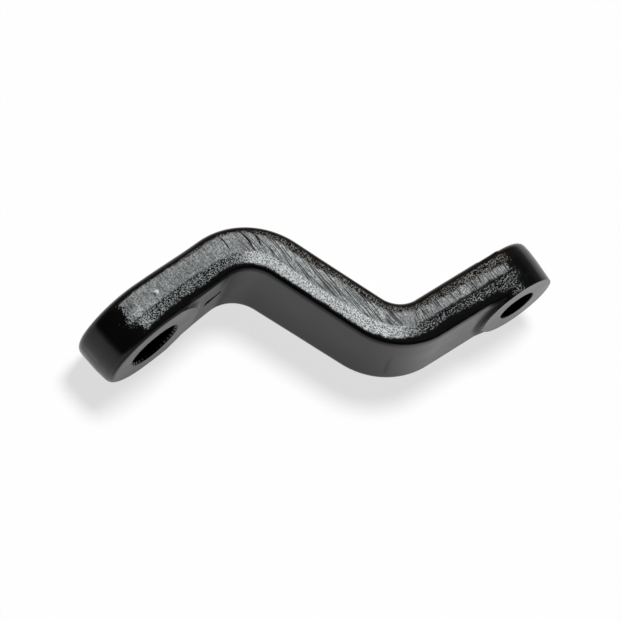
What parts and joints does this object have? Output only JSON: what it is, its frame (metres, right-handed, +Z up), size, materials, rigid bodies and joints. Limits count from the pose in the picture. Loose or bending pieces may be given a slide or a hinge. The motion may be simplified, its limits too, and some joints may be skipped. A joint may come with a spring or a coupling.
{
  "type": "pitman arm",
  "caption": "Z-bent forged steel steering arm in black paint, with a splined boss for the steering box shaft and a dropped tapered eye for the drag link's ball stud.",
  "frame": {"origin": "on the splined bore's axis, at mid thickness of the arm", "axes": "+X along the big end towards the eye, +Y along the splined bore towards the steering box, +Z across the width; the arm lies on its side with Z up"},
  "size_m": [0.2305, 0.1277, 0.064],
  "materials": {
    "black_paint": "semi-gloss black paint over forged steel, grainy on the side walls"
  },
  "bodies": {
    "root": {"pitman_arm": "black_paint"}
  },
  "joints": []
}
